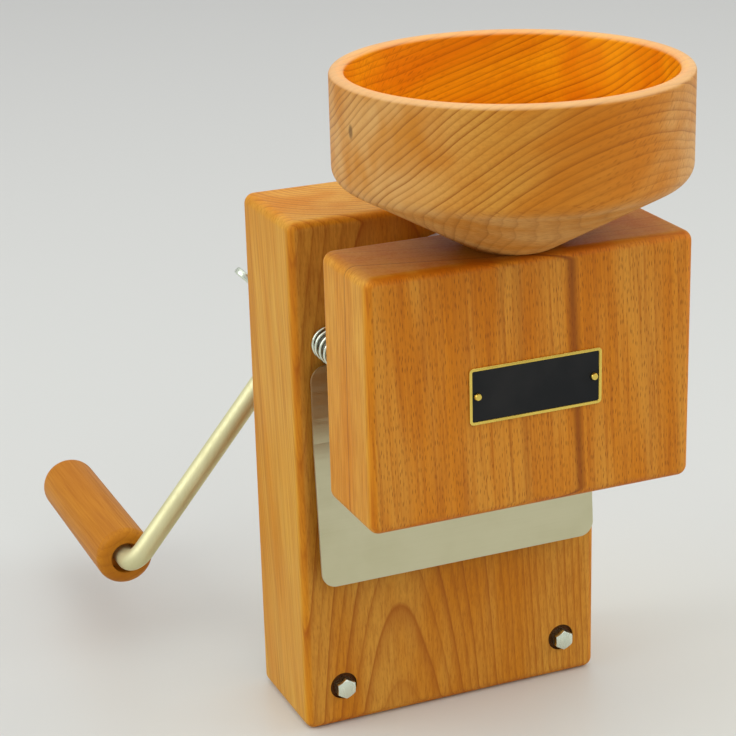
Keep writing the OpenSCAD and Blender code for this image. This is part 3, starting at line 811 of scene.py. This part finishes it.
@dataclass(frozen=True)
class Thread:
    """A threaded bar along Z with a chamfered far end."""

    radius: float
    pitch: float
    length: float
    chamfer: float = 0.0008
    steps: int = 20
    depth_share: float = 0.6134
    weld: float = 1e-6

    def cut(self, mesh: bmesh.types.BMesh) -> Verts:
        """Winds the thread's flanks and cuts both ends flat.

        Args:
            mesh: The bmesh that gets the bar.

        Returns:
            The bar's vertices.
        """
        before = set(mesh.verts)
        root = self.radius - self.depth_share * self.pitch
        low = [bmesh.ops.create_vert(mesh, co=(r, 0.0, (k / 2 - 1.5) * self.pitch))["vert"][0]
               for k, r in enumerate((root, self.radius, root))]
        edges = [bmesh.ops.contextual_create(mesh, geom=list(pair))["edges"][0] for pair in zip(low, low[1:])]
        bmesh.ops.spin(mesh, geom=low + edges, cent=(0.0, 0.0, 0.0), axis=(0.0, 0.0, 1.0),
                       dvec=(0.0, 0.0, self.pitch / self.steps), angle=2 * math.pi, steps=self.steps)
        turns = 1
        while (turns - 2) * self.pitch < self.length:
            flanks = [f for f in mesh.faces if f.verts[0] not in before]
            more = bmesh.ops.duplicate(mesh, geom=flanks)["geom"]
            bmesh.ops.translate(mesh, verts=[v for v in more if isinstance(v, bmesh.types.BMVert)],
                                vec=(0.0, 0.0, turns * self.pitch))
            turns *= 2
        bmesh.ops.remove_doubles(mesh, verts=made_since(mesh, before), dist=self.weld)
        for height, up in ((0.0, -1.0), (self.length, 1.0)):
            trim(mesh, before, (0.0, 0.0, height), (0.0, 0.0, up))
            rim = [e for e in mesh.edges if e.is_boundary and all(abs(v.co.z - height) < self.weld for v in e.verts)]
            bmesh.ops.edgeloop_fill(mesh, edges=rim)
        verts = made_since(mesh, before)
        for vert in verts:
            limit = self.radius - max(0.0, vert.co.z - (self.length - self.chamfer))
            out = math.hypot(vert.co.x, vert.co.y)
            if out > limit + CUT_CLOSE:
                bmesh.ops.scale(mesh, verts=[vert], vec=(limit / out, limit / out, 1.0))
        return verts


@dataclass(frozen=True)
class GuideStuds:
    """Two threaded studs that guide the front block."""

    apart: float = 2 * GUIDE_X
    z: float = AXIS_Z
    start_y: float = -0.088
    bar: Thread = Thread(0.004, 0.00125, 0.137)

    def build(self) -> bpy.types.Object:
        """Makes both studs.

        Returns:
            The pair as one piece.
        """
        mesh = bmesh.new()
        for side in (-1, 1):
            set_on_axis(mesh, self.bar.cut(mesh), (side * self.apart / 2, self.start_y, self.z))
        studs = piece_of("threaded_studs", mesh, Finish.STEEL)
        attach(studs, "front_housing")
        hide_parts("guide_studs")
        return studs


@dataclass(frozen=True)
class FixingBolts:
    """Two hexagon bolts through the back block, with threaded free ends."""

    apart: float = 0.107
    z: float = 0.019
    seat_y: float = -0.0265
    across_flats: float = 0.008
    head: float = 0.0055
    flats: int = 6
    face_share: float = 0.95
    slope: float = math.pi / 6
    shank: float = 0.00224
    plain: float = 0.0595
    end: Thread = Thread(0.0025, 0.0008, 0.014)

    def build_head(self, mesh: bmesh.types.BMesh) -> Verts:
        """Turns a blank with a chamfered face and cuts its six flats.

        Args:
            mesh: The bmesh that gets the head.

        Returns:
            The head's vertices, with its face towards -Z.
        """
        before = set(mesh.verts)
        corner = self.across_flats / math.sqrt(3)
        face = self.face_share * self.across_flats / 2
        fall = (corner - face) * math.tan(self.slope)
        turned(mesh, ((corner, 0.0), (corner, fall - self.head), (face, -self.head)), False)
        for flat in range(self.flats):
            turn = Matrix.Rotation(flat * 2 * math.pi / self.flats, 3, "Z")
            out = turn @ Vector((self.across_flats / 2, 0.0, 0.0))
            trim(mesh, before, out, out)
            rim = [e for e in mesh.edges if e.is_boundary and e.verts[0] not in before]
            bmesh.ops.edgeloop_fill(mesh, edges=rim)
        return made_since(mesh, before)

    def build(self) -> bpy.types.Object:
        """Makes both bolts.

        Returns:
            The pair as one piece.
        """
        mesh = bmesh.new()
        for side in (-1, 1):
            x = side * self.apart / 2
            set_on_axis(mesh, self.build_head(mesh), (x, self.seat_y, self.z))
            set_on_axis(mesh, turned(mesh, ((self.shank, 0.0), (self.shank, self.plain)), False),
                        (x, self.seat_y, self.z))
            set_on_axis(mesh, self.end.cut(mesh), (x, self.seat_y + self.plain, self.z))
        bolts = piece_of("hexagon_bolts", mesh, Finish.BRIGHT)
        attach(bolts, "stand")
        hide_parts("fixing_bolts")
        return bolts


@dataclass(frozen=True)
class WingNut:
    """A wing nut with a tapered hub and two rounded wings."""

    node: str
    x: float
    turn: float
    y: float = 0.0296
    z: float = AXIS_Z
    bore: float = 0.00405
    hub: Range = (0.008, 0.0065)
    hub_height: float = 0.010
    hub_edge: float = 0.0006
    lobe: Range = (0.0135, 0.0120)
    lobe_radius: float = 0.006
    lobe_segments: int = 36
    root: Range = (0.0055, 0.0012)
    root_height: float = 0.0078
    thick: float = 0.0032
    edge: float = 0.0010
    edge_angle: float = math.radians(60)
    flat: float = math.radians(1)

    def build_wing(self, mesh: bmesh.types.BMesh, turn: float) -> None:
        """Makes one wing: a round lobe drawn in to a narrower root in the hub.

        Args:
            mesh: The bmesh that gets the wing.
            turn: The wing's angle about the hub.
        """
        before = set(mesh.verts)
        outline = list(bmesh.ops.create_circle(mesh, radius=self.lobe_radius, segments=self.lobe_segments)["verts"])
        bmesh.ops.translate(mesh, verts=outline, vec=(*self.lobe, -self.thick / 2))
        for height in (self.root[1], self.root[1] + self.root_height):
            outline += bmesh.ops.create_vert(mesh, co=(self.root[0], height, -self.thick / 2))["vert"]
        copied = bmesh.ops.duplicate(mesh, geom=outline)["geom"]
        lid = [v for v in copied if isinstance(v, bmesh.types.BMVert)]
        bmesh.ops.translate(mesh, verts=lid, vec=(0.0, 0.0, self.thick))
        bmesh.ops.convex_hull(mesh, input=made_since(mesh, before))
        inner = [v for v in made_since(mesh, before) if not v.link_faces]
        bmesh.ops.delete(mesh, geom=inner, context="VERTS")
        wing = made_since(mesh, before)
        edges = list(dict.fromkeys(e for v in wing for e in v.link_edges))
        bmesh.ops.dissolve_limit(mesh, angle_limit=self.flat, verts=wing, edges=edges)
        rim = [e for e in mesh.edges if e.verts[0] not in before and len(e.link_faces) == 2
               and e.calc_face_angle() > self.edge_angle]
        bmesh.ops.bevel(mesh, geom=rim, offset=self.edge, offset_type="OFFSET", affect="EDGES",
                        segments=3, profile=0.5, material=-1, clamp_overlap=True)
        bmesh.ops.recalc_face_normals(mesh, faces=[f for f in mesh.faces if f.verts[0] not in before])
        upright = Matrix.Rotation(turn, 4, "Z") @ Matrix.Rotation(math.pi / 2, 4, "X")
        bmesh.ops.transform(mesh, matrix=upright, verts=made_since(mesh, before))

    def build(self) -> bpy.types.Object:
        """Makes the nut on its washer.

        Returns:
            The nut.
        """
        mesh = bmesh.new()
        low, high = self.hub
        rounding = self.hub_edge
        turned(mesh, ((self.bore, 0.0), (low - rounding, 0.0), (low, rounding), (high, self.hub_height - rounding),
                      (high - rounding, self.hub_height), (self.bore, self.hub_height)), True)
        for half in (0.0, math.pi):
            self.build_wing(mesh, half)
        set_on_axis(mesh, list(mesh.verts), (self.x, self.y, self.z), self.turn)
        nut = piece_of(f"{self.node}_piece", mesh, Finish.BRIGHT)
        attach(nut, self.node)
        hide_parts(self.node)
        return nut


@dataclass(frozen=True)
class GuideSpring:
    """A compression spring with closed ends, between the two blocks."""

    node: str
    x: float
    z: float = AXIS_Z
    back_y: float = -0.028
    length: float = 0.034
    outer: float = 0.015
    wire: float = 0.0016
    wire_sides: int = 12
    coils: int = 6
    steps: int = 32
    end_rise: float = 1.03

    def build(self) -> bpy.types.Object:
        """Winds the wire in place between the stand and the front housing.

        Returns:
            The spring.
        """
        mesh = bmesh.new()
        lead = self.wire * self.end_rise
        pitch = (self.length - self.wire - 2 * lead) / self.coils
        start = Vector((self.x + (self.outer - self.wire) / 2, self.back_y - self.wire / 2, self.z))
        ring = bmesh.ops.create_circle(mesh, radius=self.wire / 2, segments=self.wire_sides, cap_ends=True)["verts"]
        bmesh.ops.translate(mesh, verts=ring, vec=start)
        geometry = list(mesh.verts) + list(mesh.edges) + list(mesh.faces)
        for turns, rise in ((1, lead), (self.coils, pitch), (1, lead)):
            geometry = bmesh.ops.spin(
                mesh, geom=geometry, cent=(self.x, 0.0, self.z), axis=(0.0, 1.0, 0.0),
                dvec=(0.0, -rise / self.steps, 0.0), angle=2 * math.pi * turns, steps=self.steps * turns,
            )["geom_last"]
        spring = piece_of(f"{self.node}_coil", mesh, Finish.BRIGHT)
        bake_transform(spring)
        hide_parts(self.node)
        return spring


@dataclass(frozen=True)
class NamePlate:
    """A bare black plate with a raised brass rim."""

    width: float = 0.058
    height: float = 0.0235
    thick: float = 0.0008
    corner: float = 0.0018
    rim: float = 0.0010
    step: float = 0.00025
    face_y: float = -0.108
    z: float = 0.177
    facing: float = -0.99

    def build(self) -> bpy.types.Object:
        """Makes the plate in the place of its node.

        Returns:
            The plate.
        """
        mesh = bmesh.new()
        bmesh.ops.create_cube(mesh, size=1.0)
        bmesh.ops.scale(mesh, verts=mesh.verts, vec=(self.width, self.thick, self.height))
        bmesh.ops.translate(mesh, verts=mesh.verts, vec=(0.0, self.face_y - self.thick / 2, self.z))
        mesh.normal_update()
        upright = [e for e in mesh.edges if abs(e.verts[0].co.y - e.verts[1].co.y) > self.thick / 2]
        bmesh.ops.bevel(mesh, geom=upright, offset=self.corner, offset_type="OFFSET", affect="EDGES",
                        segments=5, profile=0.5, material=-1)
        mesh.normal_update()
        front = [f for f in mesh.faces if f.normal.y < self.facing]
        bmesh.ops.bevel(mesh, geom=[e for f in front for e in f.edges], offset=self.thick / 4,
                        offset_type="OFFSET", affect="EDGES", segments=2, profile=0.5, material=-1)
        mesh.normal_update()
        front = [f for f in mesh.faces if f.normal.y < self.facing]
        bmesh.ops.inset_region(mesh, faces=front, thickness=self.rim, use_even_offset=True)
        bmesh.ops.inset_region(mesh, faces=front, thickness=self.step / 2, depth=-self.step, use_even_offset=True)
        for face in front:
            face.material_index = 1
        plate = piece_of("bare_name_plate", mesh, Finish.BRASS, Finish.ENAMEL)
        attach(plate, "front_housing")
        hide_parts("name_plate")
        return plate


@dataclass(frozen=True)
class PhotoCamera:
    """The camera at the photo's viewing angle."""

    azimuth: float = math.radians(22.40)
    elevation: float = math.radians(19.91)
    roll: float = -0.0280
    distance: float = 0.92667
    target: Point = (-0.03744, -0.027, 0.16443)
    focal_px: float = 2207.64

    def build(self) -> bpy.types.Object:
        """Places the camera and makes it the scene's.

        Returns:
            The camera object.
        """
        flat = math.cos(self.elevation)
        back = Vector((-math.sin(self.azimuth) * flat, -math.cos(self.azimuth) * flat, math.sin(self.elevation)))
        right = Vector((math.cos(self.azimuth), -math.sin(self.azimuth), 0.0))
        level = Matrix((right, back.cross(right), back)).transposed().to_4x4()
        place = Matrix.Translation(Vector(self.target) + self.distance * back)
        data = bpy.data.cameras.new("photo_camera")
        data.sensor_width = SENSOR_MM
        data.lens = self.focal_px / IMAGE_PX * SENSOR_MM
        camera = bpy.data.objects.new("photo_camera", data)
        camera.matrix_world = place @ level @ Matrix.Rotation(self.roll, 4, "Z")
        bpy.context.scene.collection.objects.link(camera)
        bpy.context.scene.camera = camera
        return camera


@dataclass(frozen=True)
class Softbox:
    """A large square lamp that points at the mill."""

    name: str
    place: Point
    size: float
    watts: float
    colour: Colour = (1.0, 1.0, 1.0)
    aim: Point = (0.0, -0.03, 0.16)

    def build(self) -> bpy.types.Object:
        """Makes the lamp.

        Returns:
            The lamp object.
        """
        data = bpy.data.lights.new(self.name, "AREA")
        data.shape = "SQUARE"
        data.size = self.size
        data.energy = self.watts
        data.color = self.colour
        lamp = bpy.data.objects.new(self.name, data)
        turn = (Vector(self.aim) - Vector(self.place)).to_track_quat("-Z", "Y").to_matrix().to_4x4()
        lamp.matrix_world = Matrix.Translation(Vector(self.place)) @ turn
        bpy.context.scene.collection.objects.link(lamp)
        return lamp


@dataclass(frozen=True)
class Studio:
    """A pale table, an even sky and soft lamps."""

    floor_radius: float = 9.0
    floor_segments: int = 96
    near: Colour = (0.615, 0.625, 0.60)
    # painted_foot_light: a brighter floor colour round the mill's foot, painted light that lifts its contact shadow
    painted_foot_light: Colour = (0.665, 0.672, 0.625)
    foot_place: Point = (0.03, -0.05, 0.0)
    foot_reach: Range = (0.08, 0.26)
    far: Colour = (0.62, 0.625, 0.605)
    far_reach: Range = (0.25, 1.6)
    floor_gloss: float = 0.38
    backdrop: float = 0.62
    horizon: float = 0.24
    zenith: float = 0.86
    lamps: tuple[Softbox, ...] = (
        Softbox("top_softbox", (-0.2, 0.15, 1.9), 2.6, 12.5),
        Softbox("left_softbox", (-1.8, 0.15, 1.15), 1.5, 16.0),
        Softbox("right_softbox", (1.8, -0.8, 1.25), 1.5, 16.0),
        Softbox("front_softbox", (0.2, -2.0, 1.35), 1.5, 9.0),
    )

    def build(self) -> None:
        """Makes the floor, the sky and the lamps."""
        mesh = bmesh.new()
        bmesh.ops.create_circle(mesh, radius=self.floor_radius, segments=self.floor_segments, cap_ends=True)
        data = bpy.data.meshes.new("table")
        mesh.to_mesh(data)
        mesh.free()
        table = bpy.data.objects.new("table", data)
        bpy.context.scene.collection.objects.link(table)
        s = Shader("pale_table")
        depth = s.add("ShaderNodeSeparateXYZ")
        s.feed(depth.inputs[0], s.place())
        colour = s.mix(s.span(depth.outputs["Y"], *self.far_reach), self.near, self.far)
        # painted light round the mill's foot
        around = s.vector("LENGTH", s.place(tuple(-value for value in self.foot_place)))
        colour = s.mix(s.span(around, *self.foot_reach, 1.0, 0.0), colour, self.painted_foot_light)
        s.set(Base_Color=colour, Roughness=self.floor_gloss)
        data.materials.append(s.material)
        self.build_sky()
        for lamp in self.lamps:
            lamp.build()

    def build_sky(self) -> None:
        """Makes a sky that lights from overhead and looks evenly pale to the camera and in metal."""
        world = bpy.data.worlds.new("even_sky")
        world.use_nodes = True
        tree = world.node_tree
        background = tree.nodes["Background"]
        background.inputs["Color"].default_value = (1.0, 1.0, 1.0, 1.0)
        parts = tree.nodes.new("ShaderNodeSeparateXYZ")
        tree.links.new(tree.nodes.new("ShaderNodeTexCoord").outputs["Generated"], parts.inputs[0])
        level = tree.nodes.new("ShaderNodeMapRange")
        tree.links.new(parts.outputs["Z"], level.inputs["Value"])
        level.inputs["To Min"].default_value = self.horizon
        level.inputs["To Max"].default_value = self.zenith
        path = tree.nodes.new("ShaderNodeLightPath")
        seen = path.outputs["Is Camera Ray"]
        for ray in ("Is Glossy Ray", "Is Transmission Ray"):
            either = tree.nodes.new("ShaderNodeMath")
            either.operation = "MAXIMUM"
            tree.links.new(seen, either.inputs[0])
            tree.links.new(path.outputs[ray], either.inputs[1])
            seen = either.outputs[0]
        shown = tree.nodes.new("ShaderNodeMix")
        tree.links.new(seen, shown.inputs["Factor"])
        tree.links.new(level.outputs["Result"], shown.inputs["A"])
        shown.inputs["B"].default_value = self.backdrop
        tree.links.new(shown.outputs["Result"], background.inputs["Strength"])
        bpy.context.scene.world = world


def main() -> None:
    """Builds the mill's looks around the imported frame."""
    logging.basicConfig(level=logging.INFO, format="%(name)s: %(message)s")
    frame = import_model()
    bpy.context.scene.view_settings.view_transform = "Standard"
    PhotoCamera().build()
    Studio().build()
    for finish, nodes in NODE_FINISHES.items():
        for node in nodes:
            dress(frame["nodes"][node], finish)
            LOG.info("%s: %s", node, finish.value.name)
    for part in (GuideSpring("left_spring", -GUIDE_X), GuideSpring("right_spring", GUIDE_X), NamePlate(),
                 GuideStuds(), FixingBolts(), WingNut("left_wing_nut", -GUIDE_X, -WING_TURN),
                 WingNut("right_wing_nut", GUIDE_X, WING_TURN)):
        LOG.info("piece %s", part.build().name)


if __name__ == "__main__":
    main()
